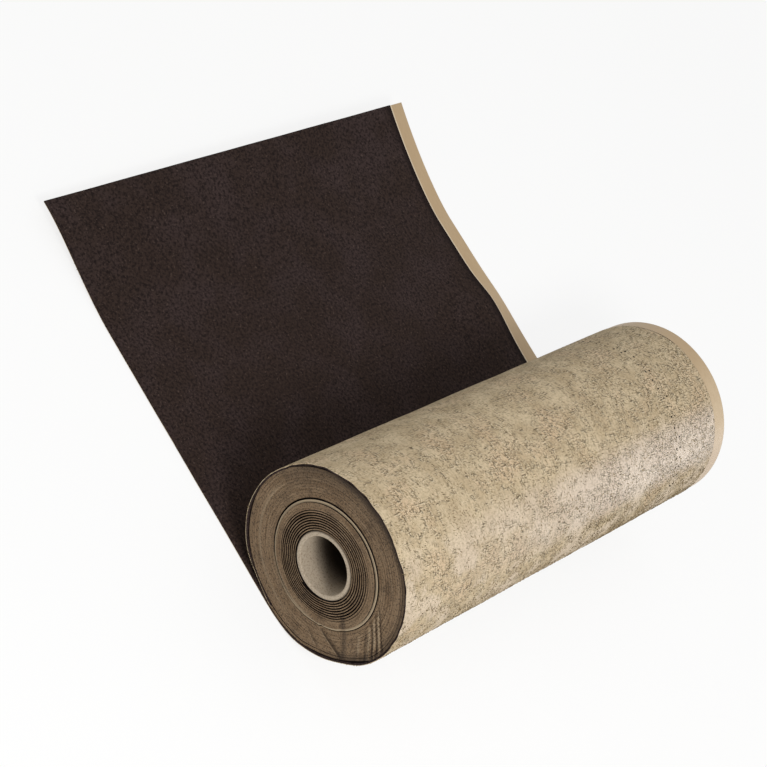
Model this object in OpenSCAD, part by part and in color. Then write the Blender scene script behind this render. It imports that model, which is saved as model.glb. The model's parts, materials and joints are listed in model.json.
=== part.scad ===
// Roll of roofing felt on a cardboard tube, its free end unrolled flat on the floor.
// Millimetres. The roll's axis lies along Y, its open end faces -Y and the tail runs towards -X.
// The origin is on the floor, under the middle of the whole object.

/* [Roll] */
// Outside diameter of the roll
roll_d = 260; // [220:1:320]
// Width of the felt without the edge strip
felt_w = 673; // [300:1:1000]
// Distance from one turn to the next
turn_pitch = 3.6; // [3:0.1:4.5]
// Width of the groove between two turns, at its mouth
groove_w = 1.2; // [0.6:0.1:2]
// Depth of the groove between two turns
groove_depth = 1.5; // [0.5:0.1:3]
// Number of inner turns that have slid out along the tube
slid_turns = 11; // [6:1:13]
// How far those turns have slid out at the open end
slid_out = 4; // [1:0.5:10]

/* [Sheet] */
// Thickness of the felt sheet
sheet_t = 3.2; // [2.4:0.1:4.5]
// Length of the tail that lies flat on the floor
flat_len = 392; // [150:1:800]
// Length of the tail that curls up at its free end
curl_len = 216; // [60:1:350]
// Radius that the free end curls to
curl_r = 760; // [400:10:2000]
// Gap between the last turn and the winding on the tail's side
loose_gap = 3; // [1:0.5:12]

/* [Edge strip] */
// Width of the strip beyond the felt's edge
strip_w = 27; // [15:1:80]
// Thickness of the strip
strip_t = 1.2; // [0.6:0.1:1.6]
// Step from the felt's outer face down to the strip
strip_step = 0.8; // [0.2:0.1:1.2]
// Solid foot that joins the strip's turns at the felt's edge
strip_foot = 6; // [2:0.5:8]

/* [Core tube] */
// Bore of the tube
core_bore_d = 77; // [50:0.5:90]
// Wall of the tube
core_wall = 7; // [3:0.5:12]
// Clearance between the tube and the first turn
core_clear = 0.3; // [0.1:0.1:0.8]

/* [Hidden] */
$fn = 128;
over = 1;

// Radii of the roll, from the tube outwards
roll_r = roll_d / 2;
core_r = core_bore_d / 2 + core_wall;
first_r = core_r + core_clear;
turns = floor((roll_r - sheet_t - first_r) / turn_pitch);
slid_r = first_r + slid_turns * turn_pitch;

// The last turn starts on the floor and ends tucked in on top of the tail, pressed a little into it,
// so the winding lies on two layers of the sheet
tuck_press = 0.3;
tuck_h = sheet_t - tuck_press;
axis_h = roll_r + sheet_t;
top_h = axis_h + roll_r;
side_r = top_h / 2;
loose_r = (top_h - tuck_h) / 2;
loose_x = loose_gap + sheet_t;

// Reach of the tail and place of the roll's axis over the floor
curl_a = curl_len / curl_r * 180 / PI;
tail_reach = flat_len + curl_r * sin(curl_a);
axis_x = (tail_reach - side_r) / 2;
roll_w = felt_w + strip_w;
open_y = -(roll_w - slid_out) / 2;

function turn_r(i) = first_r + i * turn_pitch;
function slide(i) = i < slid_turns ? -slid_out : 0;

// V groove between two turns, on an end that faces -Y at height y
function v_groove(r, y) = [
    [r - groove_w / 2, y],
    [r, y + groove_depth],
    [r + groove_w / 2, y]
];

// Side of the inner turns that stand out, down to the groove at their foot
function slid_side(r) = [
    [r, -slid_out],
    [r, groove_depth],
    [r + groove_w / 2, 0]
];

// Gap between turns i and i - 1 of the strip, on the end that faces +Y
function strip_gap(i) = [
    [turn_r(i), roll_w + slide(i)],
    [turn_r(i), felt_w + strip_foot],
    [turn_r(i - 1) + strip_t, felt_w + strip_foot],
    [turn_r(i - 1) + strip_t, roll_w + slide(i - 1)]
];

// Places a piece that is made with its axis upright, the open end at height 0
module lay_down() {
    translate([axis_x, open_y, axis_h]) rotate([-90, 0, 0]) children();
}

// Flat ring between two radii
module ring(outer_r, inner_r) {
    difference() {
        circle(outer_r);
        circle(inner_r);
    }
}

// Section of one layer of the last turn and the tail. The roll touches the floor at 0, 0.
// inset is the depth of the layer under the sheet's outer face, thick its thickness.
module last_turn(inset, thick) {
    // Half turn on the roll's far side, straight up from the floor
    intersection() {
        translate([0, side_r]) ring(side_r - inset, side_r - inset - thick);
        translate([0, -over]) square([side_r + over, top_h + 2 * over]);
    }
    // Loose half turn on the tail's side
    intersection() {
        translate([-loose_x, top_h - loose_r]) ring(loose_r - inset, loose_r - inset - thick);
        translate([-loose_x - loose_r - over, -over]) square([loose_r + over, top_h + 2 * over]);
    }
    // Short flats that join the two halves, at the top and where the turn is tucked in
    translate([-loose_x, top_h - inset - thick]) square([loose_x, thick]);
    translate([-loose_x, tuck_h + inset]) square([loose_x, thick]);
}

module tail(inset, thick) {
    translate([-flat_len, inset]) square([flat_len, thick]);
    // Free end, curled up: from straight down to the curl's angle
    translate([-flat_len, curl_r]) intersection() {
        ring(curl_r - inset, curl_r - inset - thick);
        translate([-curl_r, -curl_r - over]) square([curl_r, curl_r + over]);
        rotate(-curl_a) translate([0, -curl_r - over]) square([curl_r, curl_r + over]);
    }
}

// Layer of the last turn and the tail, from y0 over a width w
module wrap(inset, thick, y0, w) {
    translate([axis_x, open_y + y0 + w, 0]) rotate([90, 0, 0]) linear_extrude(w) {
        last_turn(inset, thick);
        tail(inset, thick);
    }
}

// The winding, turned, with its turns on the open end
module winding() {
    wind_r = roll_r - sheet_t / 2;
    lay_down() rotate_extrude() polygon(concat(
        [[first_r, -slid_out]],
        [for (i = [1 : turns]) each i == slid_turns ? slid_side(turn_r(i)) : v_groove(turn_r(i), slide(i))],
        [[wind_r, 0], [wind_r, felt_w], [slid_r, felt_w], [slid_r, felt_w - slid_out], [first_r, felt_w - slid_out]]
    ));
}

// The strip's turns, turned, open towards the end
module strip_winding() {
    wind_r = roll_r - strip_step - strip_t / 2;
    lay_down() rotate_extrude() polygon(concat(
        [[first_r, felt_w - slid_out], [slid_r, felt_w - slid_out], [slid_r, felt_w], [wind_r, felt_w]],
        [[wind_r, roll_w]],
        [for (i = [turns : -1 : 1]) each strip_gap(i)],
        [[first_r, roll_w - slid_out]]
    ));
}

module felt() {
    color("tan") union() {
        winding();
        wrap(0, sheet_t, 0, felt_w);
    }
}

module core_tube() {
    color("burlywood") lay_down() translate([0, 0, -slid_out]) difference() {
        cylinder(h = roll_w, r = core_r);
        translate([0, 0, -over]) cylinder(h = roll_w + 2 * over, d = core_bore_d);
    }
}

module edge_strip() {
    color("peru") union() {
        strip_winding();
        wrap(strip_step, strip_t, felt_w, strip_w);
    }
}

felt();
core_tube();
edge_strip();
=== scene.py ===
import json
import math
from functools import partial

import bpy
import numpy as np
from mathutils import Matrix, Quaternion, Vector, noise


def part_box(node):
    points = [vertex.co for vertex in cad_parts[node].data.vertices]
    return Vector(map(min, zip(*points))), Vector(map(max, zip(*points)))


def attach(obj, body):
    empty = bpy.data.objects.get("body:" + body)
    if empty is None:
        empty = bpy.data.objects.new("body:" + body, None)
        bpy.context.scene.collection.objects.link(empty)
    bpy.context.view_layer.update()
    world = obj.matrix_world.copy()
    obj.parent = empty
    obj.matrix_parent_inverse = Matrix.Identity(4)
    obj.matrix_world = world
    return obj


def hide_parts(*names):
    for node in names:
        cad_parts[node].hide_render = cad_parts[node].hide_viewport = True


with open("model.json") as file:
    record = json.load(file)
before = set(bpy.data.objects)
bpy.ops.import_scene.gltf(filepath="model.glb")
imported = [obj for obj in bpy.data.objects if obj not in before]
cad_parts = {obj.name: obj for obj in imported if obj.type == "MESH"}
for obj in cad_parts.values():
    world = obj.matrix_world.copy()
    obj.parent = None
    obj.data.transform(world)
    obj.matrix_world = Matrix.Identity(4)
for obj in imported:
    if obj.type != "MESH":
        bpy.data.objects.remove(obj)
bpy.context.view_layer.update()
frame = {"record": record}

mm = 0.001
scene = bpy.context.scene
scene.view_settings.view_transform = "Standard"

# Measures that come from the frame
bore = next(mount for mount in frame["record"]["mounts"] if mount["name"] == "core_bore")
axisX, _, axisZ = bore["pos_m"]  # the roll's axis runs along Y through here
axisPoint = (axisX, 0, axisZ)
feltLow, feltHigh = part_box("felt")
tubeLow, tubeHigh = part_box("core_tube")
rollRadius = feltHigh.z - axisZ
tubeRadius = tubeHigh.z - axisZ
boreRadius = bore["dims"]["r_mm"] * mm
tubeMiddle = (tubeLow.y + tubeHigh.y) / 2
tubeHalf = (tubeHigh.y - tubeLow.y) / 2
tailReach = axisX - feltLow.x
stripEdge = feltHigh.y  # the felt's long edge that carries the strip
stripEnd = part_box("edge_strip")[1].y

roll = {  # what the wound pieces share
    "sheet": 3.2 * mm,  # thickness of the felt
    "strip": 0.9 * mm,  # thickness of the strip
    "stripLap": 3 * mm,  # how far the strip reaches in under the felt
    "turns": 23,
    "clear": 0.3 * mm,  # between the tube and the first turn
    "tight": 0.996,  # thickness of a turn, as a share of the pitch
    "slidOut": 4 * mm,  # how far the inner turns stand out of the open end
}
openEnd = feltLow.y + roll["slidOut"]
windRadius = rollRadius - roll["sheet"] / 2  # outside of the winding, under the last turn
print("frame: roll radius %.1f mm, tail reach %.1f mm" % (rollRadius / mm, tailReach / mm))

nodeFamilies = ("ShaderNode", "GeometryNode", "FunctionNode", "")  # how the names of node kinds start
smoothly = {"interpolation_type": "SMOOTHSTEP"}


def put(tree, kind, *inputs, **settings):  # adds a node, such as Math.ADD, sets it and links what it takes in
    kind, _, operation = kind.partition(".")
    node = tree.nodes.new(next(start + kind for start in nodeFamilies if hasattr(bpy.types, start + kind)))
    for name, value in settings.items():
        setattr(node, name, value)
    if operation:
        node.operation = operation
    for order, given in enumerate(inputs):  # values in their order, or a dictionary by name
        for key, value in (given if isinstance(given, dict) else {order: given}).items():
            if isinstance(value, bpy.types.Node):
                value = next(out for out in value.outputs if out.enabled)
            if isinstance(value, bpy.types.NodeSocket):
                tree.links.new(value, node.inputs[key])
            else:
                node.inputs[key].default_value = value
    return node


def tone(code):  # sRGB hex to linear
    srgb = [int(code[i:i + 2], 16) / 255 for i in (1, 3, 5)]
    return (*(c / 12.92 if c <= 0.04045 else ((c + 0.055) / 1.055) ** 2.4 for c in srgb), 1.0)


def per(size):  # texture scale for a pattern of this size in millimetres
    return 1 / (size * mm)


def pattern(size, detail, **more):  # noise for a pattern of this size in millimetres
    return {"Scale": per(size), "Detail": detail, **more}


def heading(degrees):  # unit vector away from the roll's axis: 0 is +X, 90 is up
    return (math.cos(math.radians(degrees)), 0, math.sin(math.radians(degrees)))


def nearness(degrees):  # dot product of two headings that are this far apart
    return math.cos(math.radians(degrees))


def fromAxis(add, place, middle=axisPoint):  # where a place is from the middle, whole and without its Y
    across = add("VectorMath.SUBTRACT", place, middle)
    return across, add("VectorMath.MULTIPLY", across, (1, 0, 1))


def roundNoise(add, way, out, outStep, roundStep, detail):  # noise drawn out along the turns
    rise = add("CombineXYZ", {"Y": add("Math.MULTIPLY", out, outStep)})
    where = add("VectorMath.MULTIPLY_ADD", way, (roundStep, 0, roundStep), rise)
    return add("TexNoise", {"Vector": where, "Scale": 1.0, "Detail": detail})


def sideShare(add, way, degrees, *span):  # share of one side of the roll, by nearness to its heading
    return add("MapRange", add("VectorMath.DOT_PRODUCT", way, heading(degrees)), *span, **smoothly)


def layOver(add, under, coat, value, **curve):  # lays on a coat by a value in its span, or by a plain share
    ink, *span = coat
    share = add("MapRange", value, *span, **curve) if span else value
    return add("Mix", {0: share, 6: under, 7: tone(ink)}, data_type="RGBA")


def emptyTree(owner):  # gives the function that adds nodes there
    owner.use_nodes = True
    owner.node_tree.nodes.clear()
    return partial(put, owner.node_tree)


def startMaterial(name):
    material = bpy.data.materials.new(name)
    return material, emptyTree(material)


def finishMaterial(material, look, colour, height=None):
    add = partial(put, material.node_tree)
    inputs = {"Base Color": colour, "Roughness": look["rough"], "Specular IOR Level": look["shine"],
              "IOR": look["ior"]}
    if height:
        relief = {"Height": height, "Strength": look["bump"], "Distance": look["bumpDeep"]}
        inputs["Normal"] = add("Bump", relief)
    add("OutputMaterial", add("BsdfPrincipled", inputs))
    return material


# In each look a coat is a tone and the span of a value that lays it on: from, to, least and most.
# A name with Side is a side of the roll in degrees and its span, and a name with At is another span.

# Needle-punched polyester fleece: matt and fuzzy, beige with darker fibres pressed flat in clusters
fleeceLook = {
    "base": "#bca888", "pale": ("#cfbc9c", 0.36, 0.66), "peach": ("#d5b998", 0.48, 0.72, 0.0, 0.6),
    # The two pale lilac tints on the next line are painted sheen
    "pressed": ("#d3c0b3", 0.0, 1.0, 0.0, 0.55), "lilac": ("#dccab5",), "grain": ("#736347", 0.44, 0.7),
    # The dark brown coat on the next line is painted shade low down
    "soil": ("#66543f",), "cloudNoise": pattern(35, 4.0), "grainNoise": pattern(4.0, 5.0, Roughness=0.68),
    "patchNoise": pattern(60, 3.0), "clusterNoise": pattern(14, 3.0), "regionNoise": pattern(60, 2.0),
    "shift": (3.1, 1.7, 0),  # metres, so that patches and clusters don't follow the clouds
    # Where the fleece is smoother and shinier, and where a paler tint is painted on as sheen
    "pressedSide": (49, nearness(24), 0.99), "pressedAt": (openEnd, 0.15),
    # The lower side and the patches where a pale lilac tint is painted as sheen
    "lilacSide": (22, nearness(62), 0.95, 0.0, 0.65), "lilacAt": (0.54, 0.4), "regionShare": 0.6,
    "thickerAt": (-0.3, 0.25, -0.04, 0.06),  # metres along the roll, more clusters towards the strip
    "clusterAt": (0.7, 0.92, 0.18, 1.0), "grainMostAt": (0.18, 1.0, 0.5, 0.9),
    "leans": (0.78, 0.15, 1.5),  # radians from the sheet's length
    "dashSize": (7.5 * mm, 1.9 * mm, 1),  # a little coarser than the real fibres so that they show
    "dashNoise": {"Scale": 1.0, "Detail": 2.0, "Distortion": 0.5}, "dashAt": (0.56, 0.66),
    "dashes": (("#e0d0b2", (1.3 * mm, 0.9 * mm, 0), 0.62), ("#483b25", (0, 0, 0), 0.76)),  # tone, place, most
    # Where painted shade is drawn in dark strokes: low down, and along the roll
    "soilAt": (0.34, -0.05), "soilAlongAt": (openEnd, stripEdge, 0.25, 1.0),  # the first as sines
    "rubLean": 0.5, "rubSize": (7 * mm, 2.6 * mm, 1),
    "rubNoise": {"Scale": 1.0, "Detail": 3.0, "Roughness": 0.65}, "rubAt": (0.42, 0.6, 0.1, 0.65),
    "rough": (0.85, 0.29), "shine": (0.2, 0.6), "ior": 1.45, "bump": 0.7, "bumpDeep": 1.0 * mm,
}


def needledFleece(look=fleeceLook):
    material, add = startMaterial("needle_punched_fleece")
    flat = add("UVMap", uv_map="flat")  # metres along and across the sheet
    shifted = add("Mapping", {"Vector": flat, "Location": look["shift"]})
    cloud, grain = (add("TexNoise", {"Vector": flat}, look[name]) for name in ("cloudNoise", "grainNoise"))
    patch, cluster, region = (add("TexNoise", {"Vector": shifted}, look[name])
                              for name in ("patchNoise", "clusterNoise", "regionNoise"))
    place = add("TexCoord").outputs["Object"]
    along = add("SeparateXYZ", place).outputs["Y"]
    way = add("VectorMath.NORMALIZE", fromAxis(add, place)[1])
    skin = layOver(add, tone(look["base"]), look["pale"], cloud, **smoothly)
    skin = layOver(add, skin, look["peach"], patch, **smoothly)
    # One side is pressed smooth towards the far end and shines a little; its paler tint is painted sheen
    farther = add("MapRange", along, *look["pressedAt"], **smoothly)
    pressed = add("Math.MULTIPLY", sideShare(add, way, *look["pressedSide"]), farther)
    skin = layOver(add, skin, look["pressed"], pressed)
    # Paler patches on the lower side, painted sheen
    between = add("MapRange", patch, *look["lilacAt"], **smoothly)
    lower = add("Math.MULTIPLY", sideShare(add, way, *look["lilacSide"]), between)
    skin = layOver(add, skin, look["lilac"], lower)
    # Dark grain and fibres in clusters
    crowd = add("Math.MULTIPLY_ADD", region, look["regionShare"], cluster)
    crowd = add("Math.ADD", crowd, add("MapRange", along, *look["thickerAt"]))
    crowd = add("MapRange", crowd, *look["clusterAt"], **smoothly)
    most = add("MapRange", crowd, *look["grainMostAt"])
    skin = layOver(add, skin, (*look["grain"], 0.0, most), grain, **smoothly)
    marks = grain
    for lean in look["leans"]:  # dark dashes, each with a pale one beside it
        for ink, aside, most in look["dashes"]:
            laid = add("Mapping", {"Vector": flat, "Location": aside, "Rotation": (0, 0, lean),
                                   "Scale": look["dashSize"]}, vector_type="TEXTURE")
            dash = add("TexNoise", {"Vector": laid}, look["dashNoise"])
            dash = add("MapRange", dash, *look["dashAt"], 0.0, most, **smoothly)
            dash = add("Math.MULTIPLY", dash, crowd)
            skin = layOver(add, skin, (ink,), dash)
        marks = add("Math.SUBTRACT", marks, dash)
    # Painted shade low down, on the side away from the tail, drawn as dark strokes
    part = add("SeparateXYZ", way).outputs
    low = add("MapRange", part["Z"], *look["soilAt"], **smoothly)
    low = add("Math.MULTIPLY", low, add("Math.GREATER_THAN", part["X"], 0.0))
    low = add("Math.MULTIPLY", low, add("MapRange", along, *look["soilAlongAt"]))
    laid = add("Mapping", {"Vector": flat, "Rotation": (0, 0, look["rubLean"]), "Scale": look["rubSize"]},
               vector_type="TEXTURE")
    shadeStrokes = add("TexNoise", {"Vector": laid}, look["rubNoise"])
    shadeStrokes = add("MapRange", shadeStrokes, *look["rubAt"], **smoothly)
    skin = layOver(add, skin, look["soil"], add("Math.MULTIPLY", shadeStrokes, low))
    rough, shine = (add("MapRange", pressed, 0.0, 1.0, *look[name]) for name in ("rough", "shine"))
    return finishMaterial(material, {**look, "rough": rough, "shine": shine}, skin, marks)


# Bitumen coat rolled on and sanded: near black, matt, with a fine even grit
bitumenLook = {
    "base": "#342823", "worn": ("#3b2f2d", 0.38, 0.68), "dark": ("#170f0e", 0.6, 0.34),
    "grit": ("#594a43", 0.66, 0.74, 0.0, 0.5),  # drawn coarser than real grit
    # The darker tone below is a painted shadow on the bitumen beside the strip's edge
    "band": ("#170f0e", stripEdge - 14 * mm, stripEdge - 3 * mm, 0.0, 0.85),  # beside the strip
    "cloudNoise": pattern(70, 5.0), "grainNoise": pattern(4.0, 4.0, Roughness=0.7),
    "gritNoise": pattern(3.2, 1.0),
    "rough": 0.9, "shine": 0.12, "ior": 1.5, "bump": 0.55, "bumpDeep": 0.6 * mm,
}


def sandedBitumen(look=bitumenLook):
    material, add = startMaterial("sanded_bitumen")
    place = add("TexCoord").outputs["Object"]
    along = add("SeparateXYZ", place).outputs["Y"]
    cloud, grain, grit = (add("TexNoise", {"Vector": place}, look[name])
                          for name in ("cloudNoise", "grainNoise", "gritNoise"))
    coat = tone(look["base"])
    for name, value in (("worn", cloud), ("dark", grain), ("grit", grit), ("band", along)):
        coat = layOver(add, coat, look[name], value, **smoothly)
    return finishMaterial(material, look, coat, grain)


# Near-black bitumen, seen only in the gaps and dots: ink on the dots, and painted shade on the turns' faces
# in the gaps
gapShadeLook = {"base": "#0e0906", "rough": 0.85, "shine": 0.1, "ior": 1.5}


def gapShadeBitumen(look=gapShadeLook):
    material, _ = startMaterial("pressed_bitumen")
    return finishMaterial(material, look, tone(look["base"]))


# Cut edges of the wound felt: brown bitumen and fibre smeared by the knife, streaked along the turns
edgeLook = {
    "base": "#705a42", "pale": ("#877158", 0.34, 0.66), "cloud": ("#2f2319", 0.5, 0.75, 0.0, 0.4),
    # On the next two lines, the pale coat is painted highlight on the slid ring and the crease ridges, and
    # also makes a faint pale turn; the near-black coat is painted shade
    "grain": ("#2f2319", 0.45, 0.7, 0.0, 0.85), "ring": ("#a8967c", 0.0, 1.0, 0.0, 0.85),
    "crease": ("#1c130d", 0.0, -1.0, 0.0, 0.85),
    "streaks": (per(2.6), 2.2, 3.0),  # steps outwards and round, and detail
    "cloudNoise": pattern(24, 4.0), "grainNoise": pattern(2.2, 4.0), "waverNoise": pattern(30, 1.0),
    "waverBy": (5 * mm, 0, 5 * mm), "openAt": (openEnd + 8 * mm, openEnd + 12 * mm, 1.0, 0.0),
    "rough": 0.75, "shine": 0.25, "ior": 1.48, "bump": 0.5, "bumpDeep": 0.5 * mm,
}
# Each crease is sunk in the turns, and its colour is painted: shade in a valley, highlight on a ridge
creases = (  # marks on the open end: from and to (degrees, mm from the axis), depth and half width in mm
    ((-76, 84), (-52, 118), -1.5, 1.8), ((-74, 87), (-49, 121), 1.4, 3.0),
    ((-53, 86), (-34, 121), -1.2, 1.8), ((-50, 88), (-31, 124), 2.0, 3.2), ((-12, 62), (-31, 126), 1.3, 8.0),
    ((30, 91), (1, 132), 2.0, 1.9), ((27, 91), (-1, 132), -1.5, 1.8), ((23, 90), (-4, 132), 1.9, 1.9),
    ((18, 91), (-6, 132), -1.4, 1.8), ((13, 91), (-8, 132), 1.9, 1.9), ((8, 92), (-10, 131), -1.1, 2.2),
    ((2, 93), (-14, 131), 1.2, 3.0), ((-6, 94), (-19, 129), -0.8, 3.2),
)
# A crease this deep gets quite dark painted shade
creaseDark = 2.2  # mm, depth of crease that is quite dark
creaseFade = (0.34, 0.52)  # shares of its length from its middle, where a crease fades out


def creaseMark(add, spoke, crease, least):  # share of one crease, at places from the axis
    start, end, _, wide = crease
    first, last = (Vector(heading(degrees)) * out * mm for degrees, out in (start, end))
    line = last - first
    beside = Vector((-line.z, 0, line.x)).normalized()
    fromFirst = add("VectorMath.SUBTRACT", spoke, first)
    away = add("Math.ABSOLUTE", add("VectorMath.DOT_PRODUCT", fromFirst, beside))
    ridge = add("MapRange", away, 0.0, max(wide, least) * mm, 1.0, 0.0, **smoothly)
    run = add("VectorMath.DOT_PRODUCT", fromFirst, line / line.length_squared)
    past = add("Math.ABSOLUTE", add("Math.SUBTRACT", run, 0.5))
    within = add("MapRange", past, *creaseFade, 1.0, 0.0, **smoothly)
    return add("Math.MULTIPLY", ridge, within)


def knifeCutEdge(look=edgeLook):
    material, add = startMaterial("knife_cut_felt_edge")
    place = add("TexCoord").outputs["Object"]
    _, spoke = fromAxis(add, place)
    way = add("VectorMath.NORMALIZE", spoke)
    streak = roundNoise(add, way, add("VectorMath.LENGTH", spoke), *look["streaks"])
    cloud, grain, waver = (add("TexNoise", {"Vector": place}, look[name])
                           for name in ("cloudNoise", "grainNoise", "waverNoise"))
    cut = layOver(add, tone(look["base"]), look["pale"], streak)
    cut = layOver(add, cut, look["cloud"], cloud, **smoothly)
    cut = layOver(add, cut, look["grain"], grain, **smoothly)
    # Creases, a little wavy, on the open end: painted shade in the valleys and painted highlight on the
    # ridges
    waver = add("VectorMath.SUBTRACT", waver.outputs["Color"], (0.5, 0.5, 0.5))
    bent = add("VectorMath.MULTIPLY_ADD", waver, look["waverBy"], spoke)
    along = add("SeparateXYZ", place).outputs["Y"]
    atOpen = add("MapRange", along, *look["openAt"])
    shade = add("Attribute", attribute_name="shade").outputs["Fac"]  # above 0 pale, below 0 dark
    for crease in creases:
        mark = add("Math.MULTIPLY", creaseMark(add, bent, crease, 0), atOpen)
        shade = add("Math.MULTIPLY_ADD", mark, -crease[2] / creaseDark, shade)
    for name in ("ring", "crease"):
        cut = layOver(add, cut, look[name], shade)
    relief = add("Math.ADD", add("Math.ADD", streak, grain), shade)
    return finishMaterial(material, look, cut, relief)


# Siliconised kraft paper: smooth calendered satin, with faint fibre clouds
paperLook = {
    "base": "#bda584", "pale": ("#cab595",), "fibre": ("#a48d6d", 0.5, 0.8, 0.0, 0.6), "border": ("#dccbae",),
    # The second tint on the next line, paler and pinker on the side towards +X, is painted sheen
    "top": ("#a4865c", 0.35, -0.2, 0.0, 0.5), "low": ("#c9b4a0", 0.55, 0.9, 0.0, 0.5),  # spans as cosines
    "cloudNoise": pattern(40, 4.0), "fibreScale": (per(9), per(0.9), per(9)),
    "fibreNoise": {"Scale": 1.0, "Detail": 3.0},
    "tailAt": (6.3 * rollRadius, 6.6 * rollRadius),  # along the sheet, where the tail starts
    # The pale line beside the felt is a painted highlight
    "borderAt": (stripEdge + 4.4 * mm, stripEdge + 2.2 * mm, 0.0, 0.9),  # pale line beside the felt
    "rough": 0.46, "shine": 0.5, "ior": 1.46, "bump": 0.25, "bumpDeep": 0.2 * mm,
}


def siliconisedPaper(look=paperLook):
    material, add = startMaterial("siliconised_kraft_paper")
    place = add("TexCoord").outputs["Object"]
    cloud = add("TexNoise", {"Vector": place}, look["cloudNoise"])
    laid = add("Mapping", {"Vector": place, "Scale": look["fibreScale"]})
    fibre = add("TexNoise", {"Vector": laid}, look["fibreNoise"])
    sheet = layOver(add, tone(look["base"]), look["pale"], cloud)
    sheet = layOver(add, sheet, look["fibre"], fibre)
    way = add("VectorMath.NORMALIZE", fromAxis(add, place)[1])
    lean = add("SeparateXYZ", way).outputs["X"]
    # Darker tan towards the top and the tail side, and painted sheen on the side towards +X
    for name in ("top", "low"):
        sheet = layOver(add, sheet, look[name], lean, **smoothly)
    flat = add("UVMap", uv_map="flat")  # metres along and across the sheet
    part = add("SeparateXYZ", flat).outputs
    # Painted highlight: a pale line on the tail beside the felt's edge
    onTail = add("MapRange", part["X"], *look["tailAt"])
    byFelt = add("MapRange", part["Y"], *look["borderAt"])
    sheet = layOver(add, sheet, look["border"], add("Math.MULTIPLY", onTail, byFelt))
    return finishMaterial(material, look, sheet, fibre)


# Spiral-wound cardboard: grey-tan plies glued round, with a butt seam that climbs along the tube
boardLook = {
    "base": "#a99a86", "pale": ("#b9ab98",), "dark": ("#877762", 0.5, 0.72, 0.0, 0.95), "seam": ("#6f604c",),
    # Painted shade deep inside the tube, on the next line
    "inner": ("#22160d", tubeHalf - 12 * mm, tubeHalf - 60 * mm, 0.0, 0.97),  # dark away from both mouths
    "rim": ("#54473a", boreRadius + 4.2 * mm, boreRadius + 6.8 * mm, 0.0, 0.85),  # painted shade, darker outside where the tube's end rounds into the felt
    "cloudNoise": pattern(30, 4.0), "pulpNoise": pattern(2.2, 4.0),
    "seamClimb": per(210), "seamAt": (0.002, 0.006, 0.2, 0.0),  # turns for a metre, and shares of a turn
    "rough": 0.84, "shine": 0.2, "ior": 1.45, "bump": 0.4, "bumpDeep": 0.4 * mm,
}


def woundCardboard(look=boardLook):
    material, add = startMaterial("spiral_wound_cardboard")
    place = add("TexCoord").outputs["Object"]
    across, spoke = fromAxis(add, place)
    part = add("SeparateXYZ", across).outputs
    angle = add("Math.ARCTAN2", part["Z"], part["X"])
    turned = add("Math.DIVIDE", angle, 2 * math.pi)
    climb = add("Math.MULTIPLY_ADD", part["Y"], look["seamClimb"], turned)
    seam = add("MapRange", add("Math.PINGPONG", climb, 0.5), *look["seamAt"])
    cloud, pulp = (add("TexNoise", {"Vector": place}, look[name]) for name in ("cloudNoise", "pulpNoise"))
    board = tone(look["base"])
    for name, value in (("pale", cloud), ("dark", pulp), ("seam", seam)):
        board = layOver(add, board, look[name], value)
    # Painted shade inside the tube, darker away from both mouths
    fromMiddle = add("Math.ABSOLUTE", add("Math.SUBTRACT", part["Y"], tubeMiddle))
    board = layOver(add, board, look["inner"], fromMiddle, **smoothly)
    # Painted shade where the tube's end rounds into the felt
    board = layOver(add, board, look["rim"], add("VectorMath.LENGTH", spoke), **smoothly)
    return finishMaterial(material, look, board, add("Math.SUBTRACT", pulp, seam))


# Dark polyester fibre: the same fleece fibre dyed grey brown, slightly shiny where it lies flat
fibreLook = {"base": "#54462f", "pale": ("#8f7d5b", 0.38, 0.62), "mixNoise": pattern(9, 2.0), "rough": 0.8,
             "shine": 0.15, "ior": 1.5}


def dyedFibre(look=fibreLook):
    material, add = startMaterial("dyed_polyester_fibre")
    mixed = add("TexNoise", {"Vector": add("TexCoord").outputs["Object"]}, look["mixNoise"])
    return finishMaterial(material, look, layOver(add, tone(look["base"]), look["pale"], mixed))


fleece = needledFleece()
bitumen = sandedBitumen()
bitumenAndGapShade = gapShadeBitumen()
cutEdge = knifeCutEdge()
paper = siliconisedPaper()
cardboard = woundCardboard()
darkFibre = dyedFibre()
print("materials: %d made" % len(bpy.data.materials))


def newObject(name, data):
    thing = bpy.data.objects.new(name, data)
    scene.collection.objects.link(thing)
    return thing


def newMesh(name, points, faces, materials):
    mesh = bpy.data.meshes.new(name)
    mesh.from_pydata(points, [], faces)
    for material in materials:
        mesh.materials.append(material)
    mesh.shade_smooth()
    print("%s: %d faces" % (name, len(faces)))
    return newObject(name, mesh)


socketKinds = {int: "Int", float: "Float", tuple: "Vector", bpy.types.Material: "Material"}


def startTree(name, values, shape=None):  # a tree with an input for each value, and for a mesh if it is named
    tree = bpy.data.node_groups.new(name, "GeometryNodeTree")
    kinds = {shape: "Geometry"} if shape else {}
    kinds.update({key: socketKinds[type(value)] for key, value in values.items()})
    for key, kind in kinds.items():
        tree.interface.new_socket(key, in_out="INPUT", socket_type="NodeSocket" + kind)
    tree.interface.new_socket("Geometry", in_out="OUTPUT", socket_type="NodeSocketGeometry")
    add = partial(put, tree)
    return tree, add, add("NodeGroupInput").outputs


def endTree(add, shape, *coats):  # makes the shape real and sets each selection's material
    shape = add("RealizeInstances", {"Geometry": shape})
    for selection, material in coats:
        shape = add("SetMaterial", {"Geometry": shape, "Selection": selection, "Material": material})
    add("NodeGroupOutput", {"Geometry": shape})


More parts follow.
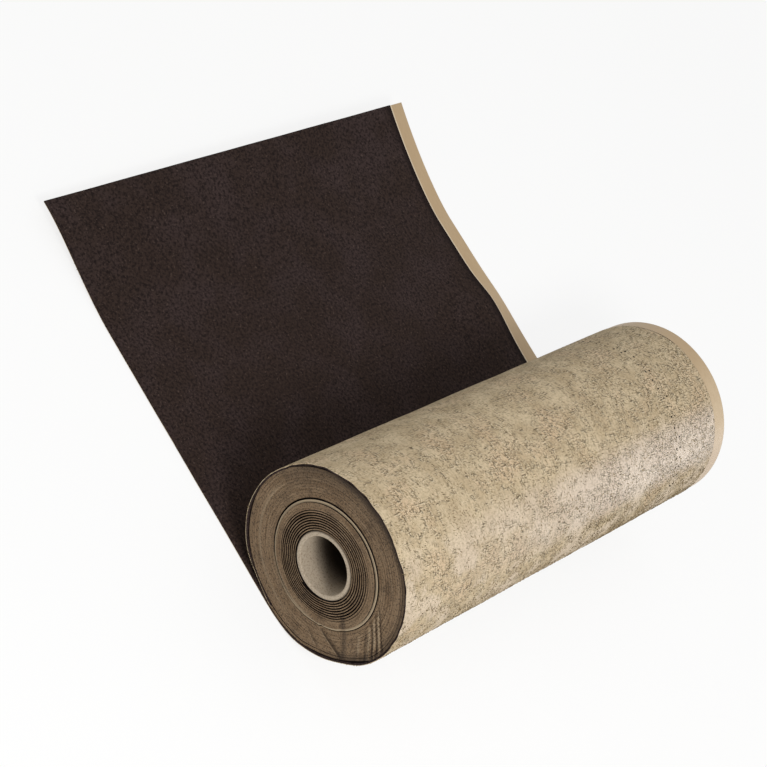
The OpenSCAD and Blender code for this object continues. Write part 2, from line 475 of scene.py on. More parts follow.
def runTree(name, tree, values, mesh=None):  # runs a tree on a new object and keeps the plain mesh
    piece = newObject(name, mesh or bpy.data.meshes.new(name))
    modifier = piece.modifiers.new(tree.name, "NODES")
    modifier.node_group = tree
    for socket in tree.interface.items_tree:
        if socket.in_out == "INPUT" and socket.name in values:
            modifier[socket.identifier] = values[socket.name]
    bpy.context.view_layer.update()
    made = piece.evaluated_get(bpy.context.evaluated_depsgraph_get())
    piece.data = bpy.data.meshes.new_from_object(made)
    piece.modifiers.clear()
    piece.data.name = name
    print("%s: %d faces" % (name, len(piece.data.polygons)))
    return piece


# The winding: one long strip of sheet swept along a spiral, tight outside and looser near the tube
pitch = (windRadius - tubeRadius - roll["clear"]) / roll["turns"]
winding = {
    "Turns": float(roll["turns"]), "Steps": 440,  # steps of one turn
    "Inner Radius": tubeRadius + roll["clear"] + pitch / 2, "Outer Radius": windRadius - pitch / 2,
    "Width": stripEdge - openEnd, "Place": (axisX, (stripEdge + openEnd) / 2, axisZ),
    "Thickness": pitch * roll["tight"], "Rounding": 0.14 * mm, "Start Angle": math.pi / 2,
    "Slid Turn": 12.0, "Slide": roll["slidOut"], "Slid Gap": 2.7 * mm,
    "Loose Turn": 7.0, "Loose Share": 0.46, "Wander": 1.0 * mm, "Ragged": 0.9 * mm,
    "Tuck": roll["sheet"] / 2, "Follow": 4.6 * mm, "Pressed": 1.0,
    # The turns' faces are near black, as painted shade in the gaps between them
    "Outer Face": bitumenAndGapShade, "Inner Face": bitumenAndGapShade, "Edge": cutEdge,
}
stripTurns = {
    **winding, "Steps": 150, "Thickness": roll["strip"], "Rounding": 0.25 * mm, "Loose Share": 1.0,
    "Wander": 1.9 * mm, "Ragged": 2.2 * mm, "Pressed": 0.0,
    "Outer Face": paper, "Inner Face": paper, "Edge": paper,
    "Width": stripEnd - stripEdge + roll["stripLap"],
    "Place": (axisX, (stripEnd + stripEdge - roll["stripLap"]) / 2, axisZ),
}
dent = {"side": 325, "wide": 15, "in": 55 * mm, "deep": 4.2 * mm}  # where the open end was knocked
windShape = {  # sides are seen at the open end, and most of the rest is in turns
    "stepUp": 0.86, "roundAt": (13.0, 19.0, 1.0, 0.0),
    "looseOver": 2.5, "slackAt": (-1.0, 1.0, 1.08, 0.8),
    "gapSide": 241, "gapAt": (-1.0, 1.0, 0.08, 1.5),  # the side where the gap round the slid turns is widest
    "slidOver": 0.15, "slidRadius": 85.4 * mm, "ringOver": 0.1, "ringShare": 0.5,
    "wander": (0.32, 1.3, 1.0), "ragged": (2.7, 2.4, 2.0),  # steps outwards and round, and detail
    "hugAt": (0.5, 2.5), "calmTurns": 2.0, "tuckTurns": 0.5,
    "looseSide": (208, nearness(54), 0.97), "looseTurns": 9.0,  # behind the loose last turn
    # A darker rim on the lit side, painted shade
    "rimSide": (45, -0.2, 0.4), "rimTurns": 3.0, "rimDark": -0.75,  # dark rim on the lit side
    "paleSide": (45, -0.4, -0.8), "paleTurn": 18.15, "paleAt": (0.2, 0.6, 0.26, 0.0),
    "dullSide": (120, 0.3, 0.95), "dull": -0.6,  # the side where painted shade darkens all the turns outside the slid ones
    "creaseLeast": 3.0,  # mm, narrowest crease that the steps can show
    "dentOver": 1.15, "facing": 0.85,
}


def woundTurnsTree(shape=windShape):
    tree, add, take = startTree("woundTurns", winding)
    turns, inner, outer, slidTurn = (
        take[name] for name in ("Turns", "Inner Radius", "Outer Radius", "Slid Turn"))
    spiral = add("CurveSpiral", {"Resolution": take["Steps"], "Rotations": turns, "Start Radius": inner,
                                 "End Radius": outer, "Height": 0.0, "Reverse": True})
    turn = add("Math.DIVIDE", add("SplineParameter").outputs["Index"], take["Steps"])
    counted = add("StoreNamedAttribute", {"Geometry": spiral, "Name": "turn", "Value": turn})
    upright = add("SetCurveNormal", {"Curve": counted}, mode="Z_UP")
    section = add("CurvePrimitiveQuadrilateral", {"Width": take["Thickness"], "Height": take["Width"]})
    rounded = add("FilletCurve", {"Curve": section, "Count": 1, "Radius": take["Rounding"]}, mode="POLY")
    swept = add("CurveToMesh", {"Curve": upright, "Profile Curve": rounded, "Fill Caps": True})
    lie = add("CombineXYZ", -math.pi / 2, take["Start Angle"])
    laid = add("Transform", {"Geometry": swept, "Translation": take["Place"], "Rotation": lie})
    # Radius, direction and turn of each point
    count = add("InputNamedAttribute", {"Name": "turn"})
    across, spoke = fromAxis(add, add("InputPosition"), take["Place"])
    radius = add("VectorMath.LENGTH", spoke)
    way = add("VectorMath.NORMALIZE", spoke)
    middle = add("MapRange", count, 0.0, turns, inner, outer)
    onGap = add("VectorMath.DOT_PRODUCT", way, heading(shape["gapSide"]))
    calmFrom, tuckFrom, followFrom, rimFrom = (
        add("Math.SUBTRACT", turns, shape[name + "Turns"]) for name in ("calm", "tuck", "loose", "rim"))
    # The first turns lie round on the tube and step up where they pass their start
    part = add("Math.FRACT", count)
    late = add("Math.MINIMUM", part, add("MapRange", part, shape["stepUp"], 1.0, 1.0, 0.0))
    rise = add("Math.DIVIDE", add("Math.SUBTRACT", outer, inner), turns)
    early = add("MapRange", count, *shape["roundAt"])
    lag = add("Math.MULTIPLY", add("Math.MULTIPLY", late, early), rise)
    # Looser turns near the tube are drawn thinner, so that gaps open between them
    looseEnd = add("Math.ADD", take["Loose Turn"], shape["looseOver"])
    slack = add("Math.MULTIPLY", take["Loose Share"], add("MapRange", onGap, *shape["slackAt"]))
    share = add("MapRange", count, take["Loose Turn"], looseEnd, slack, 1.0)
    thin = add("Math.MULTIPLY", add("Math.SUBTRACT", radius, middle), share)
    # The inner turns have slid out along the tube, with a gap round them
    slidFrom, slidTo = (add("Math." + sense, slidTurn, shape["slidOver"]) for sense in ("SUBTRACT", "ADD"))
    slid = add("MapRange", count, slidFrom, slidTo, 1.0, 0.0, **smoothly)
    packed = add("MapRange", count, 0.0, slidTurn, 0.0, take["Slid Gap"])
    uneven = add("MapRange", onGap, *shape["gapAt"])
    drawnIn = add("Math.MULTIPLY", add("Math.MULTIPLY", packed, slid), uneven)
    # Their last turn stands out less than the rest, and shows as a pale ring of painted highlight
    ringFrom = add("Math.SUBTRACT", slidTurn, 1.0)
    ringStart = add("Math.SUBTRACT", ringFrom, shape["ringOver"])
    inRing = add("MapRange", count, ringStart, ringFrom)
    less = add("MapRange", inRing, 0.0, 1.0, 1.0, shape["ringShare"])
    ring = add("Math.MULTIPLY", inRing, slid)
    # Slow wander of each turn, in and out and along the axis, shared in part with its neighbours
    swing, jag = (add("Math.SUBTRACT", roundNoise(add, way, count, *shape[name]), 0.5)
                  for name in ("wander", "ragged"))
    hug = add("MapRange", count, *shape["hugAt"], 0.0, take["Wander"])
    swing = add("Math.MULTIPLY", swing, add("MapRange", count, calmFrom, turns, 1.0, 0.0))
    wander = add("Math.MULTIPLY", swing, hug)
    # The outermost half turn drops to the tail that it lies on
    tuck = add("MapRange", count, tuckFrom, turns, 0.0, take["Tuck"])
    # The outer turns give way a little behind the loose last turn
    behind = sideShare(add, way, *shape["looseSide"], 0.0, take["Follow"])
    follow = add("Math.MULTIPLY", behind, add("MapRange", count, followFrom, turns))
    among = add("Math.GREATER_THAN", count, followFrom)
    swell = add("Math.DIVIDE", behind, add("Math.MULTIPLY", rise, shape["looseTurns"]))
    swell = add("Math.MULTIPLY_ADD", swell, among, 1.0)
    thin = add("Math.MULTIPLY", thin, swell)
    # Shades for the cut edge: painted shade as a dark rim on the lit side, a faint pale turn on the other,
    # and painted shade on the top side
    rimDark = add("MapRange", count, rimFrom, turns, 0.0, shape["rimDark"])
    fromPale = add("Math.ABSOLUTE", add("Math.SUBTRACT", count, shape["paleTurn"]))
    pale = add("MapRange", fromPale, *shape["paleAt"])
    pale = add("Math.MULTIPLY", pale, sideShare(add, way, *shape["paleSide"]))
    shade = add("Math.MULTIPLY_ADD", rimDark, sideShare(add, way, *shape["rimSide"]), pale)
    shade = add("Math.ADD", shade, ring)
    dull = add("MapRange", count, slidTurn, turns, 0.0, shape["dull"])
    shade = add("Math.MULTIPLY_ADD", dull, sideShare(add, way, *shape["dullSide"]), shade)
    # Creases and the dent at the open end, where the roll was knocked
    height = add("SeparateXYZ", across).outputs["Y"]
    pressed = add("Math.MULTIPLY", add("Compare.LESS_THAN", height, 0.0), take["Pressed"])
    sunk = add("Math.MULTIPLY", jag, take["Ragged"])
    for crease in creases:
        mark = creaseMark(add, spoke, crease, shape["creaseLeast"])
        mark = add("Math.MULTIPLY", mark, crease[2] * mm)
        sunk = add("Math.MULTIPLY_ADD", mark, pressed, sunk)
    hollow = sideShare(add, way, dent["side"], nearness(2 * dent["wide"]), 1.0, 0.0,
                       shape["dentOver"] * dent["deep"])
    outerOnly = add("MapRange", middle, shape["slidRadius"], outer)
    hollow = add("Math.MULTIPLY", add("Math.MULTIPLY", hollow, outerOnly), pressed)
    # New place of each point
    reach = middle
    for sense, steps in (("ADD", (thin, wander, tuck, follow)), ("SUBTRACT", (lag, drawnIn, hollow))):
        for step in steps:
            reach = add("Math." + sense, reach, step)
    out = add("VectorMath.SCALE", way, {"Scale": reach})
    slide = add("Math.MULTIPLY", add("Math.MULTIPLY", slid, take["Slide"]), less)
    along = add("Math.ADD", add("Math.SUBTRACT", height, slide), sunk)
    local = add("VectorMath.ADD", out, add("CombineXYZ", {"Y": along}))
    world = add("VectorMath.ADD", local, take["Place"])
    shaded = add("StoreNamedAttribute", {"Geometry": laid, "Name": "shade", "Value": shade})
    moved = add("SetPosition", {"Geometry": shaded, "Position": world})
    rounded = add("SetShadeSmooth", {"Geometry": moved, "Shade Smooth": True})
    # Faces by the way they look: outwards, inwards or along the axis
    facing = add("VectorMath.DOT_PRODUCT", add("InputNormal"), way)
    outside = add("Compare.GREATER_THAN", facing, shape["facing"])
    inside = add("Compare.LESS_THAN", facing, -shape["facing"])
    endTree(add, rounded, (True, take["Edge"]), (outside, take["Outer Face"]), (inside, take["Inner Face"]))
    return tree


windingTree = woundTurnsTree()
feltWinding = runTree("felt_winding", windingTree, winding)
stripWinding = runTree("strip_winding", windingTree, stripTurns)


def ease(low, high, value):  # smooth step from 0 to 1
    share = np.clip((value - low) / (high - low), 0, 1)
    return share * share * (3 - 2 * share)


def bell(value, middle, width):
    return np.exp(-((value - middle) / width) ** 2)


def lumps(u, v, size, seed):  # soft noise from -0.5 to 0.5 on a grid, of a size in millimetres
    grid = np.broadcast_arrays(u / (size * mm), v / (size * mm))
    flat = [noise.noise(Vector((a, b, seed))) for a, b in zip(grid[0].ravel(), grid[1].ravel())]
    return np.array(flat).reshape(grid[0].shape) / 2


# The last turn and the tail: one sheet, from where it is tucked in under the roll to its free end
fullTurn, floorAt, topAt = 360, 270, 450  # degrees in the view of the open end
sheetShape = {
    "turnSteps": 240, "tailSteps": 104,
    "looseOut": (158, 218), "looseBack": (224, 266), "loose": 5.9 * mm,  # degrees, and how far it bulges
    "gapeAt": 114, "gapeWide": 17, "gapeIn": 28 * mm, "gape": 1.5 * mm,  # lifted edge by the strip
    "bump": 0.9 * mm, "bumpLumps": (70, 3.7), "clearOfFloor": 0.9,  # lumps have a size in mm and a seed
    "waves": ((3, 1.0, 0.6), (7, 0.7, 2.0), (13, 0.5, 1.1)),  # count in a turn, height and phase
    "edgeWave": 0.85 * mm, "waveIn": 45 * mm,
    "nick": 1.1 * mm, "nickIn": 9 * mm, "nickLumps": (14, 5.1), "nickAlong": 2,
    "curlFrom": 0.685, "nearLift": 20 * mm, "farLift": 39 * mm, "farBend": 1.6,  # curl of the free end
    "rippleAt": 264 * mm, "rippleLong": 42 * mm, "rippleRoll": 58 * mm,  # place, and length to either side
    "rippleIn": 75 * mm, "ripple": 9.0 * mm, "rippleOut": 2.6 * mm,
    "tailBump": 1.2 * mm, "tailLumps": (90, 8.2), "tailBumpFrom": 60 * mm,
    "tarred": (110, 142),  # degrees where tar shows at the edge by the strip
    "endOut": 0.25, "endPinch": 0.2,  # rounding of the cut ends, as shares of the thickness
}
feltSection = {"columns": 92, "margin": 2 * mm, "depth": 0.0, "thick": roll["sheet"], "lip": 1.0 * mm,
               "edge": ((0.07, 0.4 * mm), (0.2, 0.5 * mm), (0.27, 0.3 * mm), (0.9, 0.35 * mm)),
               "layers": (0.24, 1.0)}  # fleece lip and bitumen coat, as shares of the thickness
stripSection = {"columns": 8, "margin": 1 * mm, "depth": 1.0 * mm, "thick": roll["strip"], "lip": 0.0,
                "edge": ((0.5, 0.2 * mm),), "layers": (0.5, 1.0)}


def sheetFace(y, shape=sheetShape):  # outer face, one row for each step along it and one column for each y
    y = np.asarray(y)[None, :]
    fromOpen = np.clip(y - openEnd, 0, None)
    fromStrip = np.clip(stripEdge - y, 0, None)
    degrees = np.linspace(floorAt + fullTurn, floorAt, shape["turnSteps"])[:, None]
    angle = np.radians(degrees)
    seen = np.where(degrees > topAt, degrees - fullTurn, degrees)  # 90 to 450, with the top at both ends
    underside = roll["sheet"] / 2 * (1 - np.sin(angle))
    bulge = shape["loose"] * ease(*shape["looseOut"], seen) * (1 - ease(*shape["looseBack"], seen))
    radius = rollRadius + np.where(degrees <= topAt, underside, bulge) + 0 * y
    radius = radius - dent["deep"] * bell(seen, dent["side"], dent["wide"]) * np.exp(-fromOpen / dent["in"])
    gape = shape["gape"] * bell(seen, shape["gapeAt"], shape["gapeWide"])
    gape = gape * np.exp(-fromStrip / shape["gapeIn"])
    radius = radius + np.where(y <= stripEdge, gape, 0)
    offFloor = ease(0, 1, np.sin(angle) + shape["clearOfFloor"])
    radius = radius + shape["bump"] * lumps(angle * rollRadius, y, *shape["bumpLumps"]) * offFloor
    wave = sum(high * np.sin(count * angle + phase) for count, high, phase in shape["waves"])
    turnY = y + shape["edgeWave"] * wave * np.exp(-fromOpen / shape["waveIn"])
    nicks = shape["nick"] * lumps(angle * rollRadius, 0 * y, *shape["nickLumps"])
    nicks = nicks * np.exp(-fromOpen / shape["nickIn"]) * offFloor
    turnY, radius = turnY + shape["nickAlong"] * nicks, radius + nicks
    turn = np.stack([axisX + radius * np.cos(angle), turnY + 0 * radius, axisZ + radius * np.sin(angle)], -1)

    out = np.linspace(0, tailReach, shape["tailSteps"] + 1)[1:, None]
    across = (y - openEnd) / (stripEdge - openEnd)
    curl = np.clip((out / tailReach - shape["curlFrom"]) / (1 - shape["curlFrom"]), 0, 1)
    rise = (1 - across) * shape["nearLift"] * ease(0, 1, curl)
    rise = rise + across * shape["farLift"] * curl ** shape["farBend"]
    onStrip = np.clip((y - stripEdge) / (stripEnd - stripEdge), 0, 1)
    ripple = np.where(y <= stripEdge, shape["ripple"] * bell(fromStrip, 0, shape["rippleIn"]),
                      shape["ripple"] + (shape["rippleOut"] - shape["ripple"]) * onStrip)
    side = np.where(out > shape["rippleAt"], shape["rippleLong"], shape["rippleRoll"])
    rise = rise + ripple * bell(out, shape["rippleAt"], side)
    bumps = shape["tailBump"] * (lumps(out, y, *shape["tailLumps"]) + 0.5)
    rise = rise + bumps * ease(0, shape["tailBumpFrom"], out)
    tail = np.stack([axisX - out + 0 * y, y + 0 * out, rise], -1)
    return np.concatenate([turn, tail])


def columnsAcross(low, high, count, margin):  # even columns, with two close ones at each edge
    inner = np.linspace(low + 3 * margin, high - 3 * margin, count)
    return np.concatenate([[low, low + margin], inner, [high - margin, high]])


def closedSheet(name, low, high, section, materials, shape=sheetShape):
    thick, edge, layers = section["thick"], section["edge"], section["layers"]
    columns = columnsAcross(low, high, section["columns"], section["margin"])
    face = sheetFace(columns)
    along, side = np.gradient(face, axis=0), np.gradient(face, axis=1)
    normal = np.cross(along, side)
    for vectors in (normal, side, along):
        vectors /= np.linalg.norm(vectors, axis=2, keepdims=True)
    outer = face - normal * section["depth"]
    inner = face - normal * (section["depth"] + thick)
    for end, sign in ((0, -1), (-1, 1)):  # one more row at each end, drawn in a little, rounds the cut ends
        step = sign * along[end] * thick * shape["endOut"]
        pinch = normal[end] * thick * shape["endPinch"]
        spot = 0 if sign < 0 else len(outer)
        outer = np.insert(outer, spot, outer[end] + step - pinch, axis=0)
        inner = np.insert(inner, spot, inner[end] + step + pinch, axis=0)
        side = np.insert(side, spot, side[end], axis=0)
    farEdge, nearEdge = [], []
    for share, bulge in edge:
        lip = section["lip"] * (share < layers[0])  # the outer layer stands out at the far edge
        farEdge.append(outer[:, -1] * (1 - share) + inner[:, -1] * share + side[:, -1] * (bulge + lip))
        nearEdge.insert(0, outer[:, 0] * (1 - share) + inner[:, 0] * share - side[:, 0] * bulge)
    loop = np.concatenate([outer, np.stack(farEdge, 1), inner[:, ::-1], np.stack(nearEdge, 1)], axis=1)
    rows, ring = loop.shape[:2]
    count, extra = len(columns), len(edge)
    grid = np.arange(rows * ring).reshape(rows, ring)
    after = np.roll(grid, -1, axis=1)
    faces = np.stack([grid[:-1], grid[1:], after[1:], after[:-1]], -1).reshape(-1, 4).tolist()
    # Materials round one row: outer face 0, inner face 1, cut ends 2, and the edges by their layers
    shares = [0, *(share for share, _ in edge), 1]
    middles = [(a + b) / 2 for a, b in zip(shares, shares[1:])]
    edgeKinds = [next(kind for kind, top in enumerate(layers) if m < top) for m in middles]
    outerKinds, innerKinds = [0] * (count - 1), [1] * (count - 1)
    plain = outerKinds + edgeKinds + innerKinds + edgeKinds[::-1]
    tarred = outerKinds + [1] * len(edgeKinds) + innerKinds + edgeKinds[::-1]  # far edge all dark
    first, last = (int((floorAt - at) / fullTurn * shape["turnSteps"]) for at in reversed(shape["tarred"]))
    slots = plain * first + tarred * (last - first) + plain * (rows - 1 - last)
    for row, flip in ((grid[0].tolist(), 1), (grid[-1].tolist(), -1)):
        opposite = row[count + extra:2 * count + extra][::-1]
        ends = [[row[j], row[j + 1], opposite[j + 1], opposite[j]] for j in range(count - 1)]
        ends += [row[count - 1:count + extra + 1], row[2 * count + extra - 1:] + row[:1]]
        faces += [end[::flip] for end in ends]
        slots += [2] * len(ends)
    piece = newMesh(name, loop.reshape(-1, 3).tolist(), faces, materials)
    mesh = piece.data
    mesh.polygons.foreach_set("material_index", slots)
    run = np.linalg.norm(np.diff(loop[:, count // 2], axis=0), axis=1)
    u = np.concatenate([[0], np.cumsum(run)])[:, None] + 0 * loop[..., 1]
    flat = np.stack([u, loop[..., 1]], -1).reshape(-1, 2)
    corners = np.zeros(len(mesh.loops), np.int32)
    mesh.loops.foreach_get("vertex_index", corners)
    mesh.uv_layers.new(name="flat").data.foreach_set("uv", flat[corners].ravel())
    return piece


feltSheet = closedSheet("felt_sheet", openEnd, stripEdge, feltSection, (fleece, bitumen, cutEdge))
stripSheet = closedSheet("strip_sheet", stripEdge - roll["stripLap"], stripEnd, stripSection, (paper,) * 3)


# The cardboard tube, turned, with soft worn rims
tube = {"sides": 120, "rimIn": 1.6 * mm, "rimOut": 2.4 * mm, "rimSteps": 4, "rings": 24,
        "worn": 0.35 * mm, "wornIn": 4 * mm, "wornLumps": (9, 1.3)}


def coreTube():
    i, o = tube["rimIn"], tube["rimOut"]
    quarter = np.radians(np.linspace(0, 90, tube["rimSteps"] + 1))
    low, high = tubeLow.y, tubeHigh.y
    corner = np.stack([np.sin(quarter), np.cos(quarter)], -1)
    profile = [(tubeRadius, y) for y in np.linspace(low + o, high - o, tube["rings"])]
    profile += [(tubeRadius - o + o * c, high - o + o * s) for s, c in corner[1:]]
    profile += [(boreRadius + i - i * s, high - i + i * c) for s, c in corner]
    profile += [(boreRadius, y) for y in np.linspace(high - i, low + i, tube["rings"])[1:]]
    profile += [(boreRadius + i - i * c, low + i - i * s) for s, c in corner[1:]]
    profile += [(tubeRadius - o + o * s, low + o - o * c) for s, c in corner[:-1]]
    radius, y = np.array(profile).T
    angle = np.radians(np.arange(tube["sides"]) * fullTurn / tube["sides"])[:, None]
    rim = np.maximum(bell(y, low, tube["wornIn"]), bell(y, high, tube["wornIn"]))
    ragged = tube["worn"] * lumps(angle * tubeRadius, radius, *tube["wornLumps"]) * rim
    worn = y - np.sign(y - tubeMiddle) * np.abs(ragged)
    points = np.stack([axisX + radius * np.cos(angle), worn, axisZ + radius * np.sin(angle)], -1)
    grid = np.arange(angle.size * radius.size).reshape(angle.size, radius.size)
    turned, after = np.roll(grid, -1, axis=0), np.roll(grid, -1, axis=1)
    faces = np.stack([grid, after, np.roll(turned, -1, axis=1), turned], -1).reshape(-1, 4)
    return newMesh("core_tube_shell", points.reshape(-1, 3).tolist(), faces.tolist(), (cardboard,))


coreShell = coreTube()

# Dark fibres that lie on the fleece, most of them along the sheet
fibres = {
    "Density": 24000.0, "Cluster": 19 * mm, "Long": 1.5 * mm, "Longest": 7.0 * mm, "Wide": 0.6 * mm,
    "Widest": 1.4 * mm, "High": 0.16 * mm, "Fuzz": 1.1 * mm, "Lean": 0.7, "Spread": 0.85, "Knots": 0.008,
    "Knot": 2.4 * mm, "Floor": 1.5 * mm, "Low Far": 2.0, "Fibre": darkFibre,
    "Seed": 11, "Long Seed": 5, "Wide Seed": 6, "Knot Seed": 7,
}
fibreSpans = {"crowd": (0.45, 0.62, 0.15, 2.3), "low": (0.76, 0.92), "far": (-0.3, 0.2, 0.4), "detail": 3.0}


def fibreTree(spans=fibreSpans):
    tree, add, take = startTree("scatteredFibres", fibres, "Sheet")
    spot = add("InputPosition")
    part = add("SeparateXYZ", spot).outputs
    clear = add("Compare.GREATER_THAN", part["Z"], take["Floor"])
    outer = add("Compare.EQUAL", {2: add("InputMaterialIndex"), 3: 0}, data_type="INT")
    where = add("BooleanMath.AND", clear, outer)
    scale = add("Math.DIVIDE", 1.0, take["Cluster"])
    cloud = add("TexNoise", {"Vector": spot, "Scale": scale, "Detail": spans["detail"]})
    crowd = add("MapRange", cloud, *spans["crowd"], **smoothly)
    dense = add("Math.MULTIPLY", crowd, take["Density"])
    # More of them low on the far side, towards the strip
    way = add("VectorMath.NORMALIZE", fromAxis(add, spot)[1])
    low = add("MapRange", add("SeparateXYZ", way).outputs["X"], *spans["low"], **smoothly)
    far = add("MapRange", part["Y"], *spans["far"], take["Low Far"])
    dense = add("Math.MULTIPLY", dense, add("Math.MULTIPLY_ADD", low, far, 1.0))
    points = add("DistributePointsOnFaces", {"Mesh": take["Sheet"], "Selection": where, "Density": dense,
                                             "Seed": take["Seed"]})
    normal = points.outputs["Normal"]
    along = add("VectorMath.CROSS_PRODUCT", normal, (0, 1, 0))
    stood = add("AlignRotationToVector", {"Vector": normal}, axis="Z")
    turned = add("AlignRotationToVector", {"Rotation": stood, "Vector": along}, axis="X", pivot_axis="Z")
    least, most = (add("Math." + sense, take["Lean"], take["Spread"]) for sense in ("SUBTRACT", "ADD"))
    lean = add("RandomValue", {2: least, 3: most, "Seed": take["Seed"]})
    spin = add("CombineXYZ", {"Z": lean})
    aimed = add("RotateRotation", {"Rotation": turned, "Rotate By": spin}, rotation_space="LOCAL")
    long = add("RandomValue", {2: take["Long"], 3: take["Longest"], "Seed": take["Long Seed"]})
    wide = add("RandomValue", {2: take["Wide"], 3: take["Widest"], "Seed": take["Wide Seed"]})
    tall = add("Math.MULTIPLY_ADD", low, take["Fuzz"], take["High"])
    size = add("CombineXYZ", long, wide, tall)
    knotted = add("RandomValue", {"Probability": take["Knots"], "Seed": take["Knot Seed"]},
                  data_type="BOOLEAN")
    lump = add("CombineXYZ", take["Knot"], take["Knot"], take["High"])
    size = add("Switch", knotted, size, lump, input_type="VECTOR")
    fibre = add("MeshUVSphere", {"Segments": 4, "Rings": 2, "Radius": 0.5})
    spread = add("InstanceOnPoints", {"Points": points, "Instance": fibre, "Rotation": aimed, "Scale": size})
    endTree(add, spread, (True, take["Fibre"]))
    return tree


fleeceFibres = runTree("fleece_fibres", fibreTree(), fibres, feltSheet.data.copy())

# Two rows of punched dots that mark the lap, near the strip
dotRows = (88 * mm, 96 * mm)  # from the felt's edge by the strip
lapDots = {"Pitch": 14.7 * mm, "Dot": 3.0 * mm, "High": 0.9 * mm, "Stray": 1.6 * mm, "Smallest": 0.6,
           "Largest": 1.15, "Seed": 4, "Size Seed": 3, "Ink": bitumenAndGapShade}


def dotTree():
    tree, add, take = startTree("dotRow", lapDots, "Rows")
    line = add("MeshToCurve", {"Mesh": take["Rows"]})
    even = add("ResampleCurve", {"Curve": line, "Length": take["Pitch"]}, mode="LENGTH")
    tangent = add("InputTangent")
    away = add("VectorMath.CROSS_PRODUCT", tangent, (0, 1, 0))
    stood = add("AlignRotationToVector", {"Vector": away}, axis="Z")
    least = add("Math.MULTIPLY", take["Stray"], -1.0)
    shift = add("RandomValue", {2: least, 3: take["Stray"], "Seed": take["Seed"]})
    stray = add("VectorMath.SCALE", tangent, {"Scale": shift})
    strayed = add("SetPosition", {"Geometry": even, "Offset": stray})
    share = add("RandomValue", {2: take["Smallest"], 3: take["Largest"], "Seed": take["Size Seed"]})
    size = add("CombineXYZ", take["Dot"], take["Dot"], take["High"])
    size = add("VectorMath.SCALE", size, {"Scale": share})
    dot = add("MeshUVSphere", {"Segments": 10, "Rings": 4, "Radius": 0.5})
    row = add("InstanceOnPoints", {"Points": strayed, "Instance": dot, "Rotation": stood, "Scale": size})
    endTree(add, row, (True, take["Ink"]))
    return tree


def dotLines():
    face = sheetFace(np.array([stripEdge - gap for gap in dotRows]))[:sheetShape["turnSteps"]]
    count = len(face)
    edges = [(k, k + 1) for k in range(count - 1)]
    edges += [(a + count, b + count) for a, b in edges]
    mesh = bpy.data.meshes.new("dot_lines")
    mesh.from_pydata(face.transpose(1, 0, 2).reshape(-1, 3).tolist(), edges, [])
    return mesh


lapDotRows = runTree("lap_dots", dotTree(), lapDots, dotLines())

# What each piece stands for
for piece, node, slot in (
        (feltWinding, "felt", "roofing_felt"), (feltSheet, "felt", "roofing_felt"),
        (stripWinding, "edge_strip", "strip_paper"), (stripSheet, "edge_strip", "strip_paper"),
        (coreShell, "core_tube", "core_cardboard"),
        (fleeceFibres, None, "roofing_felt"), (lapDotRows, None, "roofing_felt")):
    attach(piece, "root")
    if node:
        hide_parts(node)
print("pieces: all on the one body")

# Floor: pale and matt, shown near white to the camera, with the shadow kept
studio = {"floor": "#f2f2f0", "floorSize": 30.0, "floorDrop": 0.6 * mm, "whiteAt": (1.2, 3.2, 0.8, 1.0),
          "white": "#ffffff", "bright": (-0.2, 0.12, 0.97), "levelAt": (-0.5, 1.0, 0.22, 0.77)}


def seenShare(add):  # 1 where a ray shows the floor or the world to the camera, straight or mirrored
    path = add("LightPath").outputs
    seen = add("Math.ADD", path["Is Camera Ray"], path["Is Glossy Ray"])
    return add("Math.ADD", seen, path["Is Transmission Ray"], use_clamp=True)


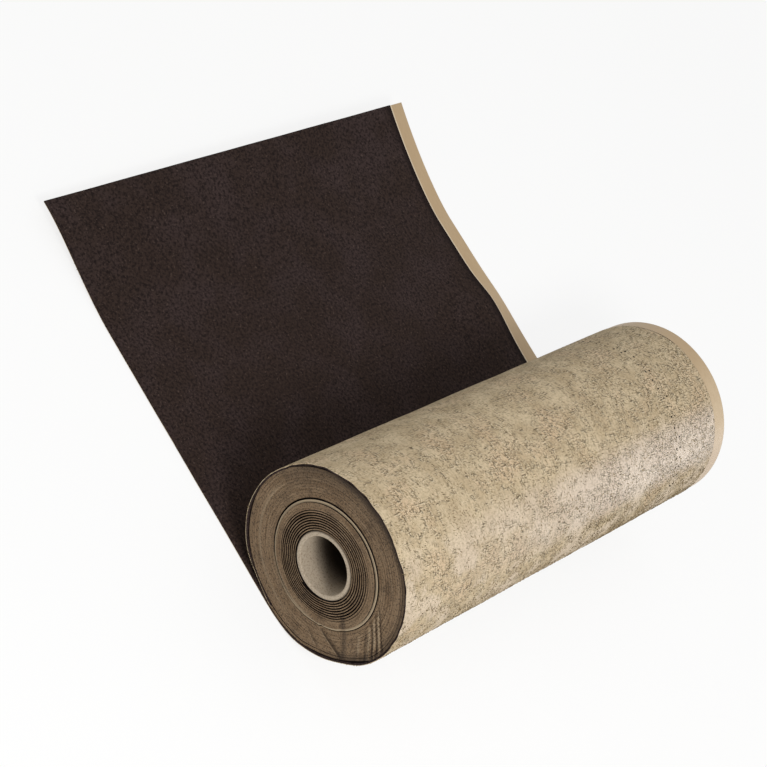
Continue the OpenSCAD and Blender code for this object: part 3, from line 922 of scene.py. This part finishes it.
def studioFloor():
    material, add = startMaterial("matt_studio_floor")
    away = add("VectorMath.LENGTH", add("TexCoord").outputs["Object"])
    white = add("MapRange", away, *studio["whiteAt"], **smoothly)
    share = add("Math.MULTIPLY", seenShare(add), white)
    matt = add("BsdfDiffuse", {"Color": tone(studio["floor"])})
    glow = add("Emission", {"Color": tone(studio["white"]), "Strength": 1.0})
    add("OutputMaterial", add("MixShader", share, matt, glow))
    half, drop = studio["floorSize"] / 2, -studio["floorDrop"]
    corners = [(-half, -half, drop), (half, -half, drop), (half, half, drop), (-half, half, drop)]
    floor = newMesh("floor", corners, [(0, 1, 2, 3)], (material,))


def studioWorld():
    world = bpy.data.worlds.new("studio")
    scene.world = world
    add = emptyTree(world)
    way = add("TexCoord").outputs["Generated"]
    facing = add("VectorMath.DOT_PRODUCT", way, Vector(studio["bright"]).normalized())
    level = add("MapRange", facing, *studio["levelAt"])
    soft, plain = (add("Background", {"Color": tone(studio["white"]), "Strength": strength})
                   for strength in (level, 1.0))
    add("OutputWorld", add("MixShader", seenShare(add), soft, plain))


lamps = {  # what it aims at, towards the lamp, distance, size and power
    "key": ((axisX, 0, axisZ), (0.43, -0.5, 0.75), 2.6, 0.75, 34.0),
    "low": ((axisX + 0.09, 0.12, axisZ + 0.1), (0.614, 0.779, 0.112), 2.4, 1.0, 7.0),
}


def softLamps():
    for name, (aim, way, distance, size, power) in lamps.items():
        aim = Vector(aim)
        light = bpy.data.lights.new(name, "AREA")
        light.shape = "DISK"
        light.size = size
        light.energy = power
        lamp = newObject(name, light)
        lamp.location = aim + Vector(way).normalized() * distance
        lamp.rotation_euler = (aim - lamp.location).to_track_quat("-Z", "Y").to_euler()


view = {"eye": (0.4747, -2.0032, 1.9979), "target": (0.0354, -0.0144, 0.0532), "roll": 50.08, "lens": 95.77,
        "sensor": 36}


def photoCamera():
    data = bpy.data.cameras.new("camera")
    data.lens = view["lens"]
    data.sensor_width = view["sensor"]
    camera = newObject("camera", data)
    eye, target = Vector(view["eye"]), Vector(view["target"])
    upright = (target - eye).to_track_quat("-Z", "Y")
    camera.location = eye
    camera.rotation_euler = (upright @ Quaternion((0, 0, 1), math.radians(view["roll"]))).to_euler()
    scene.camera = camera


studioFloor()
studioWorld()
softLamps()
photoCamera()
print("studio: floor, %d lamps and camera" % len(lamps))
